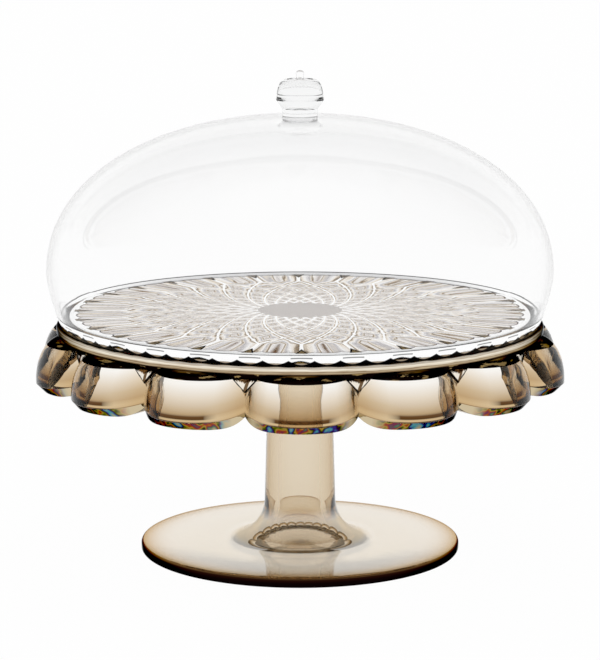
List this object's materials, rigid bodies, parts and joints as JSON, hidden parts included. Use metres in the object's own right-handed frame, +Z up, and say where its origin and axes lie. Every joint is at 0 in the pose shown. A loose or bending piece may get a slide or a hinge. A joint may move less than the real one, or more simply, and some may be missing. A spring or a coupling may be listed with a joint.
{
  "type": "cake stand with dome",
  "caption": "Tinted clear pedestal cake plate with a hanging skirt of pillow lobes and a cut-style rosette, under a clear lift-off dome with a knob.",
  "frame": {"origin": "centre of the foot's underside, where the stand rests", "axes": "+Z up along the stand's round axis, towards the knob; one lobe of the skirt points along -Y, the front"},
  "size_m": [0.351, 0.358, 0.3254],
  "materials": {
    "tinted_acrylic": "polished clear acrylic with a warm smoke tint",
    "clear_acrylic": "polished water-clear acrylic"
  },
  "bodies": {
    "stand": {"foot": "tinted_acrylic", "plate": "tinted_acrylic"},
    "cover": {"dome": "clear_acrylic", "knob": "clear_acrylic"}
  },
  "joints": [
    {"name": "cover_lift", "type": "slide", "parent": "stand", "child": "cover", "axis": [0, 0, 1], "range_m": [0, 0.16]}
  ]
}
